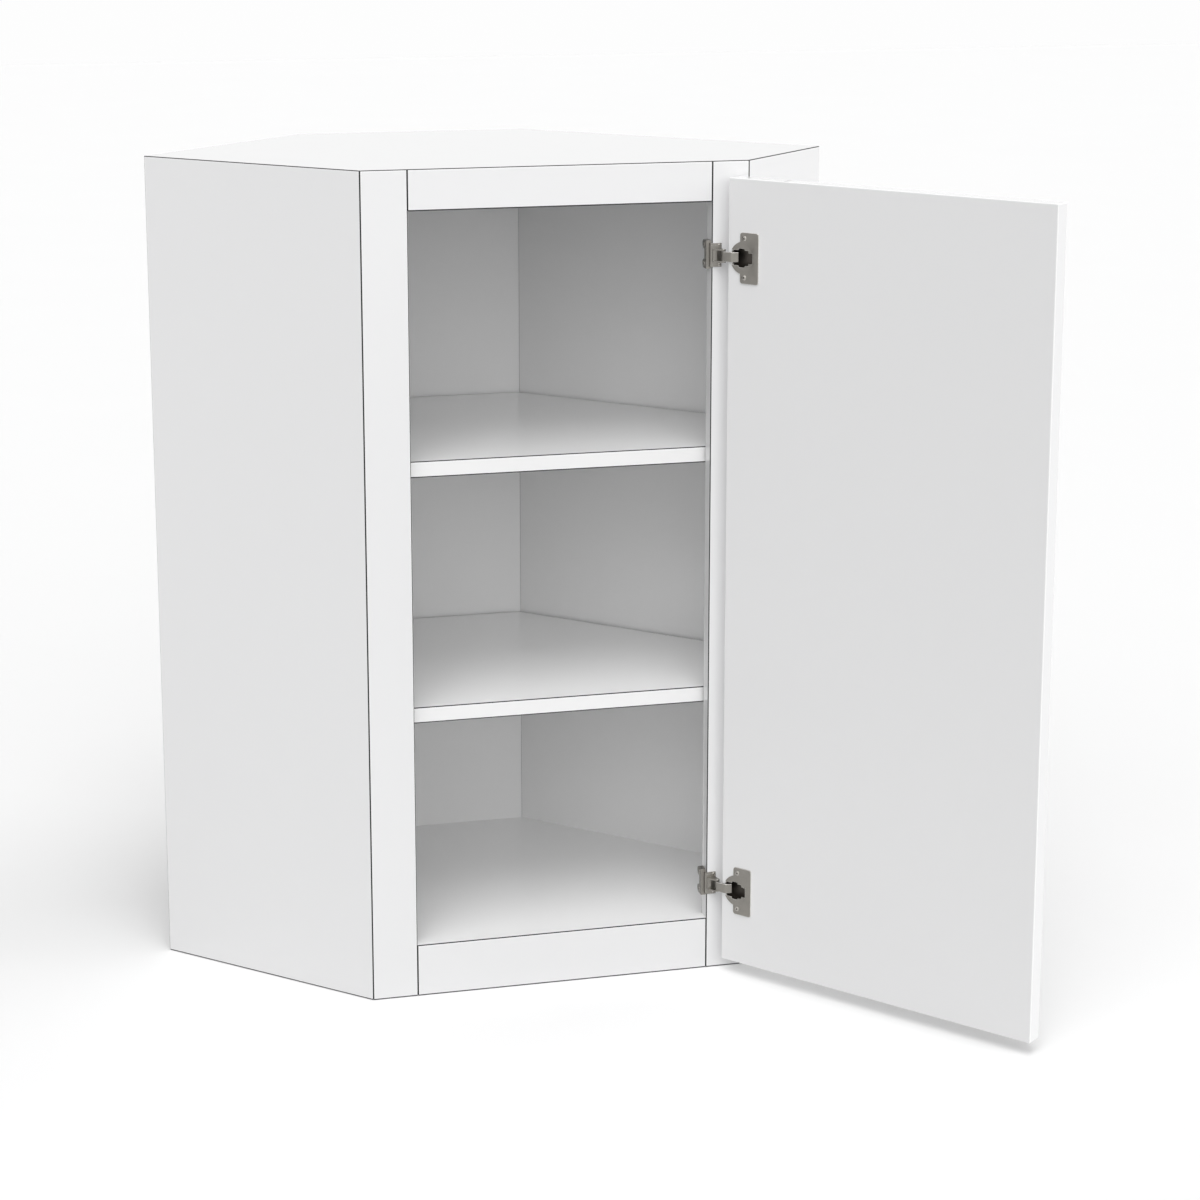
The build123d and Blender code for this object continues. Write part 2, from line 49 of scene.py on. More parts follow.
# Heights and places on the cabinet
MM = 0.001
CABINET_TOP = 914.4 * MM
FLOOR_BOARD_TOP = 59.0 * MM
SHELF_TOPS = (325.0 * MM, 599.0 * MM)
HINGE_HEIGHTS = (101.0 * MM, 813.4 * MM)
DOOR_HINGE_EDGE = (265.398 * MM, -416.559 * MM)  # inner face, at the door's hinge edge
DOOR_HEADING = math.radians(309.0)               # the open door, from its hinge edge outwards
CUP_SCREW_IN = 21.0 * MM                         # from the door's hinge edge
CUP_SCREW_OUT = 1.2 * MM                         # from the door's inner face
CUP_SCREW_SPREAD = 42.0 * MM
CUP_LIP = 0.8 * MM                               # below the door's face, where the hollow starts
PLATE_SCREW = (246.824 * MM, -389.005 * MM)
PLATE_SCREW_SPREAD = 21.0 * MM
ADJUSTER = (260.224 * MM, -401.705 * MM)
ADJUSTER_SPREAD = 20.8 * MM

# The ways that faces look
DIAGONAL = 0.7071
TO_FRONT = (0.0, -1.0, 0.0)
TO_CORNER = (0.0, 1.0, 0.0)
TO_LEFT_SIDE, TO_RIGHT_SIDE = (-DIAGONAL, -DIAGONAL, 0.0), (DIAGONAL, -DIAGONAL, 0.0)
TO_LEFT_WALL, TO_RIGHT_WALL = (-DIAGONAL, DIAGONAL, 0.0), (DIAGONAL, DIAGONAL, 0.0)
OUT_OF_RIGHT_STILE = (-1.0, 0.0, 0.0)            # out of its inner edge, over the opening

# Telling faces and edges apart
SAME_WAY = 0.9                   # cosine: a face looks the way asked for
LEVEL = 0.999                    # cosine: a face is level, not the top of a round
NOT_BELOW = -0.1                 # cosine: a face doesn't look down
CUP_OUTER_WALL = -0.4            # cosine: the cup's wall that looks back at the hinge edge
LEVEL_EDGE_WITHIN = 0.1 * MM
LEVEL_FACE_WITHIN = 0.01 * MM
MERGE_WITHIN = 0.002 * MM
FLAT_WITHIN = math.radians(0.5)
BOARD_CORNER = math.radians(30)  # duller corners of a board aren't rounded
PRESSED_CORNER = math.radians(35)
PRESSED_SHARP = math.radians(20)
SCREW_SHARP = math.radians(40)

# Rounded edges
BOARD_ARRIS = 1.5 * MM
BACK_ARRIS = 0.9 * MM
DOOR_ARRIS = 1.0 * MM
ARRIS_STEPS = 4
SHORTEST_ARRIS = 12.0 * MM       # shorter edges belong to pin holes and tenons
HINGE_ARRIS = 0.22 * MM
HINGE_ARRIS_STEPS = 2

# Places in a board's list of finishes after that of its faces, and in a pressed hinge part's,
# whose rim is a painted highlight and hollow painted shade
ARRIS, SEAM, FLOOR_TOP, PANEL_TOP = range(1, 5)
PLATE, EDGE_HIGHLIGHT, PAINTED_SHADE = range(3)

# Screws
WOOD_SCREW = {
    "Head Radius": 2.8 * MM, "Head Height": 0.6 * MM, "Shank Radius": 1.5 * MM,
    "Recess Length": 3.0 * MM, "Recess Width": 1.0 * MM, "Recess Depth": 0.45 * MM,
}
PLATE_WOOD_SCREW = {**WOOD_SCREW, "Shank Length": 16.0 * MM, "Crossed": True}
CUP_WOOD_SCREW = {**WOOD_SCREW, "Shank Length": 13.0 * MM, "Crossed": True}
SLOTTED_CAM = {
    "Head Radius": 1.9 * MM, "Head Height": 0.3 * MM, "Shank Radius": 1.9 * MM,
    "Shank Length": 1.2 * MM, "Recess Length": 5.0 * MM, "Recess Width": 0.7 * MM,
    "Recess Depth": 0.25 * MM, "Crossed": False,
}
# The head from its seat to its crown: share of its height, share of its radius
DOME = ((0.0, 1.0), (0.45, 0.96), (0.85, 0.78), (1.0, 0.5))
DOME_RINGS = 7
HEAD_SIDES = 28
SHANK_SIDES = 20
RECESS_FOOT = 0.62               # the recess's size at its foot, as a share of its mouth's
SCREW_SEED = 7

# Patterns in the finishes: cells to the metre, and what they make of a colour or roughness
CLOUD_SCALE, CLOUD_TINTS = 2.2, (0.995, 1.004)
HAZE_SCALE, HAZE_SHARES = 5.0, (0.93, 1.07)
PEEL_SCALE, PEEL_STRENGTH, PEEL_HEIGHT = 260.0, 0.006, 0.2 * MM
COAT_ROUGHNESS = 0.03
# The seam's painted shade wanders at random in its tone
SEAM_SHADE_SCALE, SEAM_SHADE_TINTS = 60.0, (0.85, 1.15)
SEAM_ROUGHNESS = 0.7
TONE_SCALE, TONE_TINTS = 160.0, (0.93, 1.06)
MARKS_STRENGTH, MARKS_HEIGHT, MARKS_SHARES = 0.12, 0.05 * MM, (0.8, 1.25)
MARKS_STRETCH = (1.0, 1.0, 0.06)                 # drawn out upwards
NOISE_LOW, NOISE_HIGH = 0.15, 0.85               # nearly all of a noise lies between them

# Camera
LENS_PIXELS = 2805.6             # focal length in pixels of the 1200-pixel picture
PICTURE = 1200.0
SENSOR_WIDTH = 36.0              # mm
SHIFT_X, SHIFT_Y = -6.5, -156.0  # principal point, pixels from the picture's middle
CAMERA_AT = (-0.6103, -3.2660, 1.2351)
CAMERA_YAW = -0.2498             # radians, positive turns the view to the left
CAMERA_PITCH = 0.2074            # radians downwards

# Light and floor
SKY_LIGHT = 0.271                # even light from all round
LAMP_SPREAD = 40.0               # degrees, of every lamp
LAMPS = {
    # lamp: degrees to the right of the front, degrees up, strength
    "low_front": (-10.0, 22.0, 0.517),
    "front": (-10.0, 45.0, 0.473),
    "high_front": (-10.0, 68.0, 1.206),
    "left": (-50.0, 45.0, 0.471),
    "low_front_right": (30.0, 22.0, 0.387),
    "low_right": (75.0, 22.0, 1.234),
}
PAPER_WHITE = 0.985              # the white that the backdrop shows
FLOOR_LEVEL = 0.9                # the floor's own white, which the lamps bring to the backdrop's
FLOOR_TONE = 0.003               # how far its white wanders
FLOOR_TONE_SCALE = 3.0           # cells to the metre
FLOOR_ROUGHNESS = 0.9
FLOOR_BOUNCE = 0.45              # the white from which it throws light back up at the cabinet
FLOOR_HALF = 14.0                # from its middle to its sides


# ---- helpers ------------------------------------------------------------------------------

def add_object(name, data):
    made = bpy.data.objects.new(name, data)
    bpy.context.scene.collection.objects.link(made)
    return made


def plain_mesh(name, shape, materials=()):
    """The worked shape as a mesh with its finishes."""
    mesh = bpy.data.meshes.new(name)
    shape.to_mesh(mesh)
    shape.free()
    for material in materials:
        mesh.materials.append(material)
    return mesh


def shade_smooth(mesh, sharp_from):
    """Round walls smooth, and a hard line at every corner sharper than the angle."""
    mesh.polygons.foreach_set("use_smooth", [True] * len(mesh.polygons))
    mesh.set_sharp_from_angle(angle=sharp_from)


def add_node(tree, kind, inputs=(), **settings):
    """A node with its settings made, and its inputs joined to sockets or set to values."""
    made = tree.nodes.new(kind)
    for key, value in settings.items():
        setattr(made, key, value)
    for key, value in dict(inputs).items():
        if isinstance(value, bpy.types.NodeSocket):
            tree.links.new(value, made.inputs[key])
        else:
            made.inputs[key].default_value = value
    return made


def worked_out(tree, operation, first, second):
    """What one Math node makes of two numbers."""
    return add_node(tree, "ShaderNodeMath", {0: first, 1: second}, operation=operation).outputs[0]


def upwards(tree, height):
    """A vector straight up, as long as the height."""
    return add_node(tree, "ShaderNodeCombineXYZ", {"Z": height}).outputs[0]


def with_finish(tree, geometry, finish, where=True):
    """The geometry in the finish, all of it or where it is chosen."""
    return add_node(tree, "GeometryNodeSetMaterial", {
        "Geometry": geometry, "Selection": where, "Material": finish,
    }).outputs[0]


# ---- finishes -----------------------------------------------------------------------------

def new_material(name):
    """A material with its tree, its shader and the object coordinates for its patterns."""
    material = bpy.data.materials.new(name)
    material.use_nodes = True
    tree = material.node_tree
    shader = tree.nodes["Principled BSDF"]
    coordinates = tree.nodes.new("ShaderNodeTexCoord")
    return material, tree, shader, coordinates.outputs["Object"]


def noise(tree, coordinates, scale, detail, stretch=(1.0, 1.0, 1.0)):
    """Solid noise in object space, drawn out along an axis where stretch is under one."""
    mapping = add_node(tree, "ShaderNodeMapping", {"Vector": coordinates, "Scale": stretch})
    texture = add_node(tree, "ShaderNodeTexNoise", {
        "Vector": mapping.outputs["Vector"], "Scale": scale, "Detail": detail,
    })
    return texture.outputs["Fac"]


def ranged(tree, value, low, high):
    """The noise spread evenly between two values."""
    spread = add_node(tree, "ShaderNodeMapRange", {
        "Value": value, "From Min": NOISE_LOW, "From Max": NOISE_HIGH,
        "To Min": low, "To Max": high,
    })
    return spread.outputs["Result"]


def tinted(tree, value, dark, light):
    """A colour between two tints, led by the noise."""
    ramp = add_node(tree, "ShaderNodeValToRGB", {"Fac": value})
    stops = ramp.color_ramp.elements
    for stop, place, tint in zip(stops, (NOISE_LOW, NOISE_HIGH), (dark, light)):
        stop.position = place
        stop.color = (*tint, 1.0)
    return ramp.outputs["Color"]


def shares_of(colour, shares):
    """The colour times each share, none over white."""
    return [tuple(min(c * share, 1.0) for c in colour) for share in shares]


def bump(tree, shader, height, strength, distance):
    """The noise raised on the surface."""
    raised = add_node(tree, "ShaderNodeBump", {
        "Height": height, "Strength": strength, "Distance": distance,
    })
    tree.links.new(raised.outputs["Normal"], shader.inputs["Normal"])


def gloss_lacquer(name, grey, roughness, mirror):
    """Sprayed white lacquer: a faint cloud in the colour, fine orange peel, a clear coat."""
    material, tree, shader, coordinates = new_material(name)
    cloud = noise(tree, coordinates, CLOUD_SCALE, detail=1.0)
    colour = tinted(tree, cloud, *shares_of(grey, CLOUD_TINTS))
    tree.links.new(colour, shader.inputs["Base Color"])
    haze = noise(tree, coordinates, HAZE_SCALE, detail=1.0)
    matt = ranged(tree, haze, *(roughness * share for share in HAZE_SHARES))
    tree.links.new(matt, shader.inputs["Roughness"])
    shader.inputs["Coat Weight"].default_value = 1.0
    shader.inputs["Coat IOR"].default_value = mirror
    shader.inputs["Coat Roughness"].default_value = COAT_ROUGHNESS
    peel = noise(tree, coordinates, PEEL_SCALE, detail=0.0)
    bump(tree, shader, peel, PEEL_STRENGTH, PEEL_HEIGHT)
    return material


def seam_line(name, grey):
    """The thin dark line at a board's arris: painted shade in the seam."""
    material, tree, shader, coordinates = new_material(name)
    seam_shade_tone = noise(tree, coordinates, SEAM_SHADE_SCALE, detail=3.0)
    colour = tinted(tree, seam_shade_tone, *shares_of(grey, SEAM_SHADE_TINTS))
    tree.links.new(colour, shader.inputs["Base Color"])
    shader.inputs["Roughness"].default_value = SEAM_ROUGHNESS
    return material


def plated_steel(name, colour, roughness, grain):
    """Nickel plate with fine rolling marks and a little uneven polish."""
    material, tree, shader, coordinates = new_material(name)
    shader.inputs["Metallic"].default_value = 1.0
    tone = noise(tree, coordinates, TONE_SCALE, detail=3.0)
    plating = tinted(tree, tone, *shares_of(colour, TONE_TINTS))
    tree.links.new(plating, shader.inputs["Base Color"])
    marks = noise(tree, coordinates, grain, detail=2.0, stretch=MARKS_STRETCH)
    polish = ranged(tree, marks, *(roughness * share for share in MARKS_SHARES))
    tree.links.new(polish, shader.inputs["Roughness"])
    bump(tree, shader, marks, MARKS_STRENGTH, MARKS_HEIGHT)
    return material


# Lacquers: grey, roughness, and the clear coat's index of refraction. On the one white lacquer,
# the sides' and the inside's lighter greys are painted light and the top's darker grey is painted
# shade
lacquer_out = gloss_lacquer("white_gloss_lacquer", (0.83, 0.83, 0.835), 0.30, 1.5)
side_lacquer_painted_light = gloss_lacquer("white_side_painted_light_lacquer", (0.88, 0.88, 0.885), 0.30, 1.5)
top_lacquer_painted_shade = gloss_lacquer("white_top_painted_shade_lacquer", (0.72, 0.72, 0.725), 0.34, 1.5)
inside_lacquer_painted_light = gloss_lacquer("white_inside_painted_light_lacquer", (0.90, 0.90, 0.90), 0.45, 1.3)
lacquer_door = gloss_lacquer("white_door_lacquer", (0.84, 0.84, 0.845), 0.30, 1.8)
arris_highlight_lacquer = gloss_lacquer("painted_highlight_arris_lacquer", (0.96, 0.96, 0.96), 0.2, 1.5)
seam_dark = seam_line("seam_shadow", (0.035, 0.035, 0.037))
seam_pale = seam_line("back_edge_shadow", (0.20, 0.20, 0.20))
# Metals: colour, roughness, and rolling marks to the metre. The pale edge nickel is a painted
# highlight, the dark hollow nickel painted shade
nickel = plated_steel("satin_nickel", (0.255, 0.243, 0.222), 0.34, 900.0)
rim_highlight_nickel = plated_steel("nickel_edge_painted_highlight", (0.82, 0.805, 0.77), 0.26, 900.0)
nickel_bright = plated_steel("bright_nickel", (0.40, 0.385, 0.355), 0.24, 700.0)
hollow_painted_shade = plated_steel("hollow_and_recess_painted_shade", (0.085, 0.076, 0.068), 0.42, 900.0)


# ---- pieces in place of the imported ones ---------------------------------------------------

def body_of_node(node):
    for body, members in frame["record"]["behaviour"]["bodies"].items():
        if node in members:
            return body


def slot_of_node(node):
    for entry in frame["record"]["subparts"]:
        if entry["node"] == node:
            return entry["material_slot"]


def finish_object(name, mesh, *replaced):
    """The finished piece, which takes its body from the first node it replaces; its slot is looked
    up but not given to it.
    """
    body, material_slot = body_of_node(replaced[0]), slot_of_node(replaced[0])
    piece = add_object(name, mesh)
    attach(piece, body)
    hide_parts(*replaced)
    return piece


def merged_copy(node):
    """The node's shape as one clean closed mesh, flat faces whole again."""
    shape = bmesh.new()
    shape.from_mesh(nodes[node].data)
    bmesh.ops.remove_doubles(shape, verts=shape.verts, dist=MERGE_WITHIN)
    bmesh.ops.dissolve_limit(
        shape, angle_limit=FLAT_WITHIN, verts=shape.verts, edges=shape.edges,
    )
    return shape


# ---- boards with rounded arrises ----------------------------------------------------------

def looks(face, outward):
    """Whether a face looks one of the outward ways."""
    return any(face.normal.dot(Vector(way)) > SAME_WAY for way in outward)


def arris_edges(shape, outward):
    """The long outer corners of a board. Where boards lie flush, only those of the outline."""
    chosen = []
    for edge in shape.edges:
        if len(edge.link_faces) != 2 or edge.calc_length() < SHORTEST_ARRIS:
            continue
        if edge.calc_face_angle_signed(0.0) < BOARD_CORNER:
            continue
        flush = any(
            all(abs(v.co.z - level) < LEVEL_EDGE_WITHIN for v in edge.verts)
            for level in (CABINET_TOP, FLOOR_BOARD_TOP)
        )
        if not flush or any(looks(face, outward) for face in edge.link_faces):
            chosen.append(edge)
    return chosen


def rounded_board(node, radius, outward):
    """A board's shape, its rounded arrises a painted highlight next to a shown face and painted
    shade in the seam.
    """
    shape = merged_copy(node)
    # Clamped, the whole board's arrises would shrink to what its screw holes leave
    made = bmesh.ops.bevel(
        shape, geom=arris_edges(shape, outward), offset=radius, offset_type="OFFSET",
        segments=ARRIS_STEPS, profile=0.5, affect="EDGES", clamp_overlap=False, material=SEAM,
    )
    for face in made["faces"]:
        if looks(face, outward) and face.normal.z > NOT_BELOW:
            face.material_index = ARRIS
    return shape


def carry_flush_tops(shape):
    """A board's top takes the finish of the floor board or top panel that it lies flush with."""
    # On the cabinet's top that finish is the top's painted shade, on the floor board the inside's
    # painted light
    for face in shape.faces:
        height = face.calc_center_median().z
        for finish, level in ((FLOOR_TOP, FLOOR_BOARD_TOP), (PANEL_TOP, CABINET_TOP)):
            if face.normal.z > LEVEL and abs(height - level) < LEVEL_FACE_WITHIN:
                face.material_index = finish


def finished_board(node, radius, materials, outward):
    """A board in its finishes, in place of its node."""
    shape = rounded_board(node, radius, outward)
    if len(materials) > FLOOR_TOP:
        carry_flush_tops(shape)
    name = "finished_" + node
    finish_object(name, plain_mesh(name, shape, materials), node)


# ---- pieces that repeat -------------------------------------------------------------------

SOCKETS = {float: "NodeSocketFloat", int: "NodeSocketInt", bool: "NodeSocketBool"}


def geometry_tree(name, given):
    """A tree with a geometry input, the named inputs given, and one geometry output."""
    tree = bpy.data.node_groups.new(name, "GeometryNodeTree")
    sockets = tree.interface.new_socket
    sockets("Pattern", in_out="INPUT", socket_type="NodeSocketGeometry")
    for label, value in given.items():
        kind = SOCKETS.get(type(value), "NodeSocketMaterial")
        sockets(label, in_out="INPUT", socket_type=kind)
    sockets("Pieces", in_out="OUTPUT", socket_type="NodeSocketGeometry")
    inputs = tree.nodes.new("NodeGroupInput").outputs
    outputs = tree.nodes.new("NodeGroupOutput").inputs
    return tree, inputs, outputs


def grown_mesh(name, pattern, tree, given):
    """The plain mesh that the tree makes of the pattern, with its named inputs set."""
    maker = add_object(name, pattern)
    modifier = maker.modifiers.new("grow", "NODES")
    modifier.node_group = tree
    for item in tree.interface.items_tree:
        if item.in_out == "INPUT" and item.name in given:
            modifier[item.identifier] = given[item.name]
    graph = bpy.context.evaluated_depsgraph_get()
    mesh = bpy.data.meshes.new_from_object(maker.evaluated_get(graph), depsgraph=graph)
    mesh.name = name
    maker.modifiers.remove(modifier)
    bpy.data.objects.remove(maker)
    bpy.data.meshes.remove(pattern)
    return mesh


def repeat_tree(given):
    """A piece made at height nought, set out upwards at an even spacing and finished."""
    tree, inputs, outputs = geometry_tree("repeat_upwards", given)
    heights = add_node(tree, "GeometryNodeMeshLine", {
        "Count": inputs["Count"], "Start Location": upwards(tree, inputs["Lowest"]),
        "Offset": upwards(tree, inputs["Spacing"]),
    })
    copies = add_node(tree, "GeometryNodeInstanceOnPoints", {
        "Points": heights.outputs[0], "Instance": inputs["Pattern"],
    })
    real = add_node(tree, "GeometryNodeRealizeInstances", {"Geometry": copies.outputs[0]})
    pieces = real.outputs[0]
    kind = add_node(tree, "GeometryNodeInputNamedAttribute", {"Name": "finish"}, data_type="INT")
    for number, label in enumerate(("Face Finish", "Painted Highlight Finish", "Painted Shade Finish")):
        # Inputs 2 and 3 are the ones for whole numbers
        here = add_node(
            tree, "FunctionNodeCompare", {2: kind.outputs["Attribute"], 3: number},
            data_type="INT", operation="EQUAL",
        )
        pieces = with_finish(tree, pieces, inputs[label], here.outputs[0])
    tree.links.new(pieces, outputs["Pieces"])
    return tree


def repeated_pair(name, shape, heights, materials, *replaced):
    """One mesh of the same piece at two heights. The shape is drawn at the lower height."""
    bmesh.ops.translate(shape, verts=shape.verts, vec=(0.0, 0.0, -heights[0]))
    layer = shape.faces.layers.int.new("finish")
    for face in shape.faces:
        face[layer] = face.material_index
    given = {
        "Lowest": heights[0], "Spacing": heights[1] - heights[0], "Count": len(heights),
        "Face Finish": materials[0], "Painted Highlight Finish": materials[1], "Painted Shade Finish": materials[2],
    }
    mesh = grown_mesh(name, plain_mesh("pattern", shape), repeat_tree(given), given)
    mesh.attributes.remove(mesh.attributes["finish"])
    return finish_object(name, mesh, *replaced)


def dome_radius(tree, along, radius):
    """The head's radius from its seat to its crown."""
    curve = add_node(tree, "ShaderNodeFloatCurve", {"Value": along})
    points = curve.mapping.curves[0].points
    points[0].location = DOME[0]
    points[1].location = DOME[-1]
    for place in DOME[1:-1]:
        points.new(*place)
    curve.mapping.update()
    return worked_out(tree, "MULTIPLY", curve.outputs[0], radius)


def recess_bar(tree, inputs, turn):
    """A bar that cuts the driver's recess, narrower at its foot. Half of it is in the head."""
    height = worked_out(tree, "MULTIPLY", inputs["Recess Depth"], 2.0)
    size = add_node(tree, "ShaderNodeCombineXYZ", {
        "X": inputs["Recess Length"], "Y": inputs["Recess Width"], "Z": height,
    })
    bar = add_node(tree, "GeometryNodeMeshCube", {"Size": size.outputs[0]})
    where = add_node(tree, "GeometryNodeInputPosition").outputs[0]
    parts = add_node(tree, "ShaderNodeSeparateXYZ", {0: where})
    narrow = add_node(
        tree, "ShaderNodeVectorMath", {0: where, 1: (RECESS_FOOT, RECESS_FOOT, 1.0)},
        operation="MULTIPLY",
    )
    tapered = add_node(tree, "GeometryNodeSetPosition", {
        "Geometry": bar.outputs[0], "Position": narrow.outputs[0],
        "Selection": worked_out(tree, "LESS_THAN", parts.outputs["Z"], 0.0),
    })
    placed = add_node(tree, "GeometryNodeTransform", {
        "Geometry": tapered.outputs[0], "Translation": upwards(tree, inputs["Head Height"]),
        "Rotation": (0.0, 0.0, turn),
    })
    return placed.outputs[0]


def screw_head(tree, inputs):
    """A domed head with a slot or a cross cut in its crown."""
    axis = add_node(tree, "GeometryNodeCurvePrimitiveLine", {
        "End": upwards(tree, inputs["Head Height"]),
    })
    rings = add_node(tree, "GeometryNodeResampleCurve", {
        "Curve": axis.outputs[0], "Count": DOME_RINGS,
    })
    along = add_node(tree, "GeometryNodeSplineParameter").outputs["Factor"]
    rim = add_node(tree, "GeometryNodeCurvePrimitiveCircle", {
        "Resolution": HEAD_SIDES, "Radius": 1.0,
    })
    head = add_node(tree, "GeometryNodeCurveToMesh", {
        "Curve": rings.outputs[0], "Profile Curve": rim.outputs[0], "Fill Caps": True,
        "Scale": dome_radius(tree, along, inputs["Head Radius"]),
    }).outputs[0]
    second = add_node(tree, "GeometryNodeSwitch", {
        "Switch": inputs["Crossed"], "True": recess_bar(tree, inputs, math.pi / 2),
    })
    # Each cut takes the bar's finish, so the recess is painted dark as shade
    for bar in (recess_bar(tree, inputs, 0.0), second.outputs[0]):
        head = add_node(tree, "GeometryNodeMeshBoolean", {
            "Mesh 1": head, "Mesh 2": with_finish(tree, bar, inputs["Recess Painted Shade"]),
        }, operation="DIFFERENCE", solver="EXACT").outputs[0]
    return head


def screw_shank(tree, inputs):
    """A round shank, from the head's seat down."""
    middle = worked_out(tree, "MULTIPLY", inputs["Shank Length"], -0.5)
    shank = add_node(tree, "GeometryNodeMeshCylinder", {
        "Vertices": SHANK_SIDES, "Radius": inputs["Shank Radius"], "Depth": inputs["Shank Length"],
    })
    lowered = add_node(tree, "GeometryNodeTransform", {
        "Geometry": shank.outputs[0], "Translation": upwards(tree, middle),
    })
    return lowered.outputs[0]


def screw_turn(tree, inputs):
    """The way that each screw faces, with a turn of its own up to a quarter."""
    way = add_node(
        tree, "GeometryNodeInputNamedAttribute", {"Name": "facing"}, data_type="FLOAT_VECTOR",
    )
    facing = add_node(
        tree, "FunctionNodeAlignRotationToVector", {"Vector": way.outputs[0]}, axis="Z",
    )
    # Inputs 2 and 3 and output 1 are the ones for plain numbers, input 8 is the seed
    chance = add_node(tree, "FunctionNodeRandomValue", {
        2: 0.0, 3: math.pi / 2, 8: inputs["Seed"],
    })
    spin = add_node(tree, "FunctionNodeEulerToRotation", {0: upwards(tree, chance.outputs[1])})
    turned = add_node(tree, "FunctionNodeRotateRotation", {
        "Rotation": facing.outputs[0], "Rotate By": spin.outputs[0],
    }, rotation_space="LOCAL")
    return turned.outputs[0]


def screw_tree(given):
    """Recessed heads on shanks, one at each vertex, facing its way and turned at random."""
    tree, inputs, outputs = geometry_tree("recessed_screws", given)
    screw = tree.nodes.new("GeometryNodeJoinGeometry")
    tree.links.new(screw_head(tree, inputs), screw.inputs[0])
    tree.links.new(screw_shank(tree, inputs), screw.inputs[0])
    copies = add_node(tree, "GeometryNodeInstanceOnPoints", {
        "Points": inputs["Pattern"], "Instance": screw.outputs[0],
        "Rotation": screw_turn(tree, inputs),
    })
    real = add_node(tree, "GeometryNodeRealizeInstances", {"Geometry": copies.outputs[0]})
    recess = add_node(tree, "GeometryNodeMaterialSelection", {0: inputs["Recess Painted Shade"]})
    outside = add_node(
        tree, "FunctionNodeBooleanMath", {0: recess.outputs[0]}, operation="NOT",
    )
    dressed = with_finish(tree, real.outputs[0], inputs["Metal"], outside.outputs[0])
    tree.links.new(dressed, outputs["Pieces"])
    return tree


def screw_set(name, place, facing, spread, given, *replaced):
    """Screws in pairs, a spread apart, at both hinge heights, as one mesh."""
    corners = [
        (*place, height + side * spread / 2) for height in HINGE_HEIGHTS for side in (-1, 1)
    ]
    pattern = bpy.data.meshes.new("places")
    pattern.from_pydata(corners, [], [])
    ways = pattern.attributes.new("facing", "FLOAT_VECTOR", "POINT")
    for entry in ways.data:
        entry.vector = facing
    given = {
        **given, "Seed": SCREW_SEED, "Metal": nickel_bright, "Recess Painted Shade": hollow_painted_shade,
    }
    mesh = grown_mesh(name, pattern, screw_tree(given), given)
    shade_smooth(mesh, SCREW_SHARP)
    finish_object(name, mesh, *replaced)


# ---- pressed hinge parts ------------------------------------------------------------------

def softened_pressing(node):
    """A pressed hinge part's shape with its edges softened, and a painted highlight there."""
    mesh = plain_mesh("pressing", merged_copy(node), (nickel, rim_highlight_nickel))
    maker = add_object("pressing", mesh)
    soften = maker.modifiers.new("soften", "BEVEL")
    soften.width = HINGE_ARRIS
    soften.segments = HINGE_ARRIS_STEPS
    soften.limit_method = "ANGLE"
    soften.angle_limit = PRESSED_CORNER
    soften.material = EDGE_HIGHLIGHT
    graph = bpy.context.evaluated_depsgraph_get()
    shape = bmesh.new()
    shape.from_mesh(maker.evaluated_get(graph).to_mesh())
    bpy.data.objects.remove(maker)
    bpy.data.meshes.remove(mesh)
    return shape


def pressed_pair(part, finish=None):
    """The lower and upper hinge's same part, pressed in the same die."""
    replaced = [f"{level}_{part}" for level in ("lower", "upper")]
    shape = softened_pressing(replaced[0])
    if finish:
        finish(shape)
    piece = repeated_pair(
        part + "_pair", shape, HINGE_HEIGHTS, (nickel, rim_highlight_nickel, hollow_painted_shade), *replaced,
    )
    shade_smooth(piece.data, PRESSED_SHARP)


def pressed_single(node):
    """A pressed part on a body of its own."""
    name = "finished_" + node
    mesh = plain_mesh(name, softened_pressing(node), (nickel, rim_highlight_nickel))
    shade_smooth(mesh, PRESSED_SHARP)
    finish_object(name, mesh, node)


def finish_cup(shape):
    """The hollow painted dark as shade but for its outer wall, the flange's outer end a painted
    highlight.
    """
    for face in shape.faces:
        place = face.calc_center_median().xy - Vector(DOOR_HINGE_EDGE)
        outwards = face.normal.xy.dot(door_along)
        if place.dot(door_inward) < -CUP_LIP:
            face.material_index = PAINTED_SHADE if outwards > CUP_OUTER_WALL else PLATE
        elif outwards > SAME_WAY:
            face.material_index = EDGE_HIGHLIGHT


# ---- the cabinet --------------------------------------------------------------------------

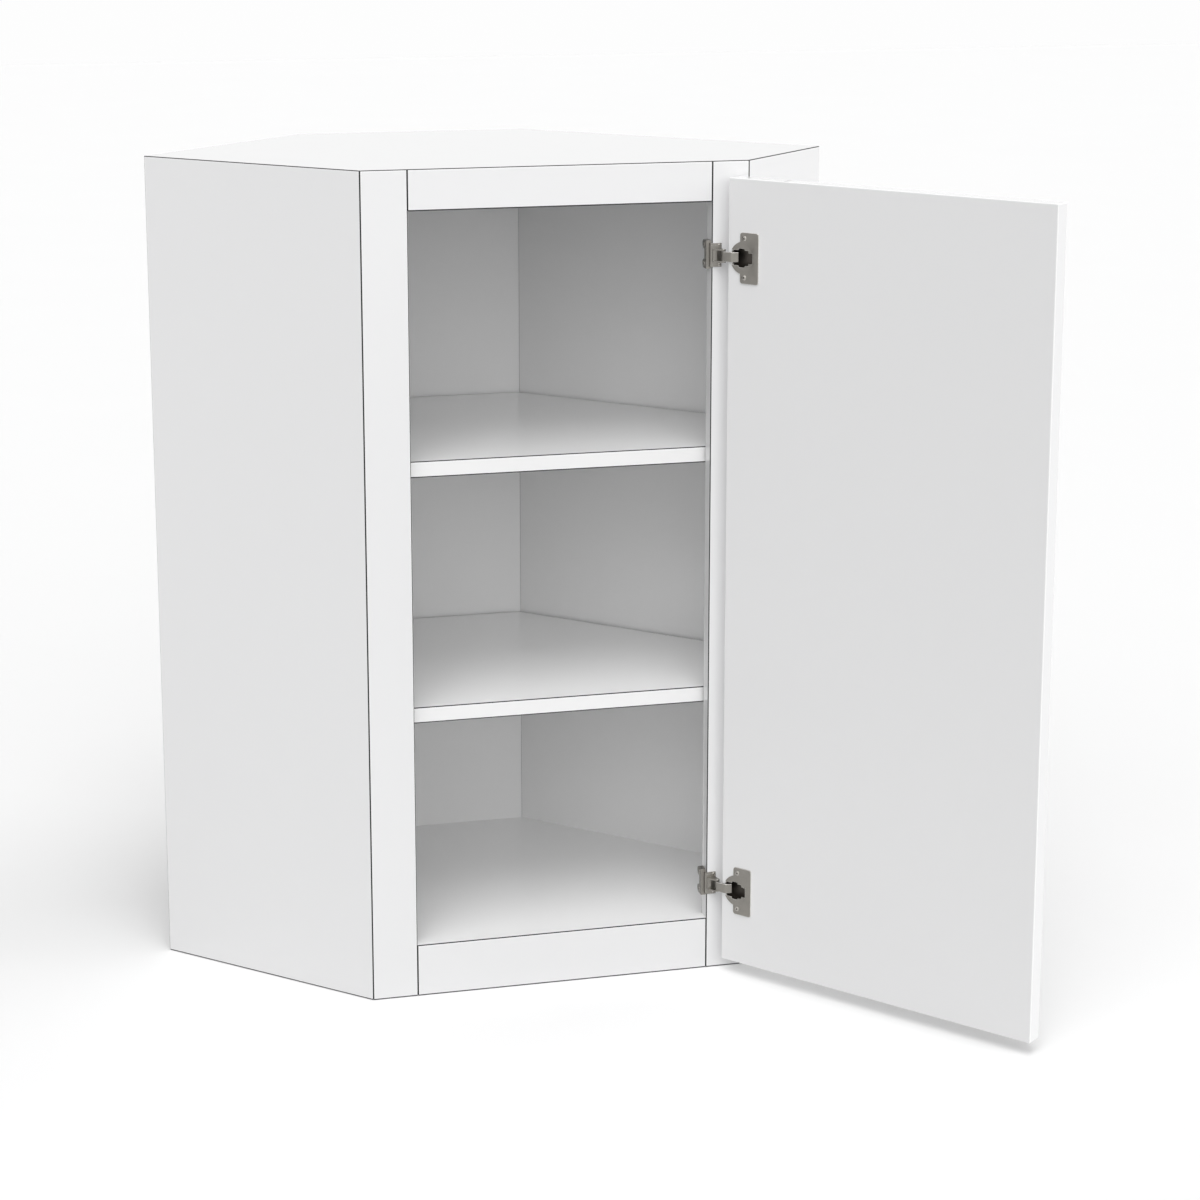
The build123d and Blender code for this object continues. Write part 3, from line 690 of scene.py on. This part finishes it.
# Finishes: face, arris, seam, then the tops flush with the floor board and the top panel. The
# near-white arris lacquer is a painted highlight, the dark and pale seam finishes painted shade
FRAMED = (lacquer_out, arris_highlight_lacquer, seam_dark, inside_lacquer_painted_light, top_lacquer_painted_shade)
SIDED = (side_lacquer_painted_light, arris_highlight_lacquer, seam_dark, inside_lacquer_painted_light, top_lacquer_painted_shade)
INSIDE = (inside_lacquer_painted_light, inside_lacquer_painted_light, seam_dark)
BACKED = (inside_lacquer_painted_light, inside_lacquer_painted_light, seam_pale)
TOPPED = (top_lacquer_painted_shade, top_lacquer_painted_shade, seam_pale)
SHELVED = (inside_lacquer_painted_light, arris_highlight_lacquer, seam_dark)
DOORED = (lacquer_door, arris_highlight_lacquer, arris_highlight_lacquer)
BOARDS = {
    # board: its arris, its finishes, and the ways its shown faces look
    "left_side_panel": (BOARD_ARRIS, SIDED, [TO_LEFT_SIDE]),
    "right_side_panel": (BOARD_ARRIS, FRAMED, [TO_RIGHT_SIDE]),
    "left_stile": (BOARD_ARRIS, FRAMED, [TO_FRONT]),
    "right_stile": (BOARD_ARRIS, FRAMED, [TO_FRONT]),
    "top_rail": (BOARD_ARRIS, FRAMED, [TO_FRONT]),
    "bottom_rail": (BOARD_ARRIS, FRAMED, [TO_FRONT]),
    "bottom_panel": (BOARD_ARRIS, INSIDE, []),
    "left_back_panel": (BACK_ARRIS, BACKED, []),
    "right_back_panel": (BACK_ARRIS, BACKED, []),
    "corner_back_panel": (BACK_ARRIS, BACKED, []),
    "top_panel": (BOARD_ARRIS, TOPPED, [TO_LEFT_WALL, TO_RIGHT_WALL, TO_CORNER]),
    "door_panel": (DOOR_ARRIS, DOORED, []),
}
for node, (radius, materials, outward) in BOARDS.items():
    finished_board(node, radius, materials, outward)
repeated_pair(
    "shelf_pair", rounded_board("lower_shelf", BOARD_ARRIS, [TO_FRONT]), SHELF_TOPS, SHELVED,
    "lower_shelf", "upper_shelf",
)

# The open door: along it from its hinge edge, and the way its inner face looks
door_along = Vector((math.cos(DOOR_HEADING), math.sin(DOOR_HEADING)))
door_inward = Vector((math.sin(DOOR_HEADING), -math.cos(DOOR_HEADING)))
pressed_pair("hinge_plate")
pressed_pair("hinge_cup", finish_cup)
pressed_pair("hinge_pin")
pressed_single("upper_hinge_arm")
pressed_single("lower_hinge_arm")
cup_screw = Vector(DOOR_HINGE_EDGE) + door_along * CUP_SCREW_IN + door_inward * CUP_SCREW_OUT
screw_set(
    "cup_screw_set", cup_screw, (*door_inward, 0.0), CUP_SCREW_SPREAD, CUP_WOOD_SCREW,
    "upper_cup_screws", "lower_cup_screws",
)
screw_set(
    "plate_screw_set", PLATE_SCREW, OUT_OF_RIGHT_STILE, PLATE_SCREW_SPREAD, PLATE_WOOD_SCREW,
    "upper_plate_screws", "lower_plate_screws",
)
screw_set(
    "adjuster_set", ADJUSTER, TO_FRONT, ADJUSTER_SPREAD, SLOTTED_CAM,
    "upper_adjusting_screws", "lower_adjusting_screws",
)

# Imported pieces that stay as they are, with a finish of their own
# The hanging rails take the inside's painted light
KEPT = {
    "left_upper_hanging_rail": inside_lacquer_painted_light, "right_upper_hanging_rail": inside_lacquer_painted_light,
    "left_lower_hanging_rail": inside_lacquer_painted_light, "right_lower_hanging_rail": inside_lacquer_painted_light,
    "upper_shelf_supports": nickel_bright, "lower_shelf_supports": nickel_bright,
}
for node, material in KEPT.items():
    shown = nodes[node]
    shown.data.materials.clear()
    shown.data.materials.append(material)


# ---- studio -------------------------------------------------------------------------------

def make_camera():
    """The photograph's viewpoint, looking down a little, with a part of its upward shift."""
    data = bpy.data.cameras.new("studio_camera")
    data.sensor_fit = "HORIZONTAL"
    data.sensor_width = SENSOR_WIDTH
    data.lens = LENS_PIXELS / PICTURE * data.sensor_width
    data.shift_x = -SHIFT_X / PICTURE
    data.shift_y = SHIFT_Y / PICTURE
    data.clip_start, data.clip_end = 0.05, 60.0
    camera = add_object("studio_camera", data)
    camera.location = CAMERA_AT
    camera.rotation_euler = (math.pi / 2 - CAMERA_PITCH, 0.0, CAMERA_YAW)
    bpy.context.scene.camera = camera


def camera_or_mirror(tree):
    """One for rays from the camera, a mirror or glass, which see the plain white studio."""
    path = tree.nodes.new("ShaderNodeLightPath")
    total = path.outputs["Is Camera Ray"]
    for other in ("Is Glossy Ray", "Is Transmission Ray"):
        total = worked_out(tree, "MAXIMUM", total, path.outputs[other])
    return total


def make_world():
    """White paper for the camera and mirrors, an even light for the rest."""
    world = bpy.data.worlds.new("studio")
    bpy.context.scene.world = world
    world.use_nodes = True
    tree = world.node_tree
    tree.nodes.remove(tree.nodes["Background"])
    white = (1.0, 1.0, 1.0, 1.0)
    seen = add_node(tree, "ShaderNodeBackground", {"Color": white, "Strength": PAPER_WHITE})
    light = add_node(tree, "ShaderNodeBackground", {"Color": white, "Strength": SKY_LIGHT})
    mix = add_node(tree, "ShaderNodeMixShader", {
        0: camera_or_mirror(tree), 1: light.outputs[0], 2: seen.outputs[0],
    })
    tree.links.new(mix.outputs["Shader"], tree.nodes["World Output"].inputs["Surface"])


def make_floor():
    """A wide pale floor, whiter to the camera and mirrors than to the light it throws back."""
    material, tree, shader, coordinates = new_material("studio_floor_white")
    shader.inputs["Roughness"].default_value = FLOOR_ROUGHNESS
    shader.inputs["Specular IOR Level"].default_value = 0.0
    tone = noise(tree, coordinates, FLOOR_TONE_SCALE, detail=1.0)
    white = tinted(tree, tone, (FLOOR_LEVEL - FLOOR_TONE,) * 3, (FLOOR_LEVEL + FLOOR_TONE,) * 3)
    # Inputs 6 and 7 and output 2 are the ones for colours
    paper = add_node(tree, "ShaderNodeMix", {
        0: camera_or_mirror(tree), 6: (FLOOR_BOUNCE, FLOOR_BOUNCE, FLOOR_BOUNCE, 1.0), 7: white,
    }, data_type="RGBA")
    tree.links.new(paper.outputs[2], shader.inputs["Base Color"])
    shape = bmesh.new()
    bmesh.ops.create_grid(shape, x_segments=1, y_segments=1, size=FLOOR_HALF)
    floor = add_object("studio_floor", plain_mesh("studio_floor", shape, [material]))


def make_soft_lamp(name, side, up, strength):
    """A wide, even lamp: the same level all over the floor, with soft shadows."""
    data = bpy.data.lights.new(name, "SUN")
    data.energy = strength
    data.angle = math.radians(LAMP_SPREAD)
    side, up = math.radians(side), math.radians(up)
    level = math.cos(up)
    comes_from = Vector((math.sin(side) * level, -math.cos(side) * level, math.sin(up)))
    lamp = add_object(name, data)
    lamp.rotation_euler = comes_from.to_track_quat("Z", "Y").to_euler()


make_world()
make_floor()
for name, (side, up, strength) in LAMPS.items():
    make_soft_lamp(name, side, up, strength)
make_camera()
bpy.context.scene.view_settings.view_transform = "Standard"
